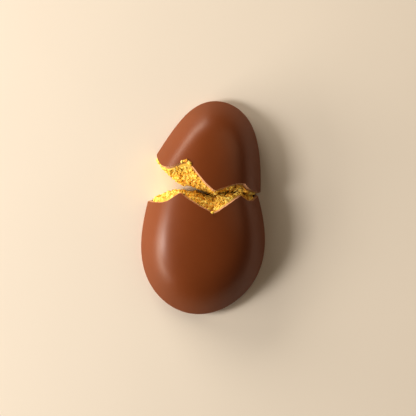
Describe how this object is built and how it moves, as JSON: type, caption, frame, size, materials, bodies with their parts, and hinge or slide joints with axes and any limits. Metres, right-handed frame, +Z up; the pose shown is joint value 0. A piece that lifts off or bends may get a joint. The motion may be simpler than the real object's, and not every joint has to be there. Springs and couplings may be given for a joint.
{
  "type": "chocolate egg",
  "caption": "Flat-backed milk chocolate egg with a crumbly golden filling, snapped in two across the middle and lying with its halves just parted.",
  "frame": {"origin": "on the surface the egg lies on, under the middle of the two halves", "axes": "+Z up from the flat back, +Y along the egg from the blunt half to the pointed half, +X to the right seen from above"},
  "size_m": [0.044, 0.0758, 0.016],
  "materials": {
    "milk_chocolate": "smooth milk chocolate with a soft sheen, paler and dull where it has snapped",
    "golden_filling": "coarse crumbly filling, pale yellow to deep golden, dull"
  },
  "bodies": {
    "root": {"blunt_half_coating": "milk_chocolate", "pointed_half_coating": "milk_chocolate", "blunt_half_filling": "golden_filling", "pointed_half_filling": "golden_filling"}
  },
  "joints": []
}
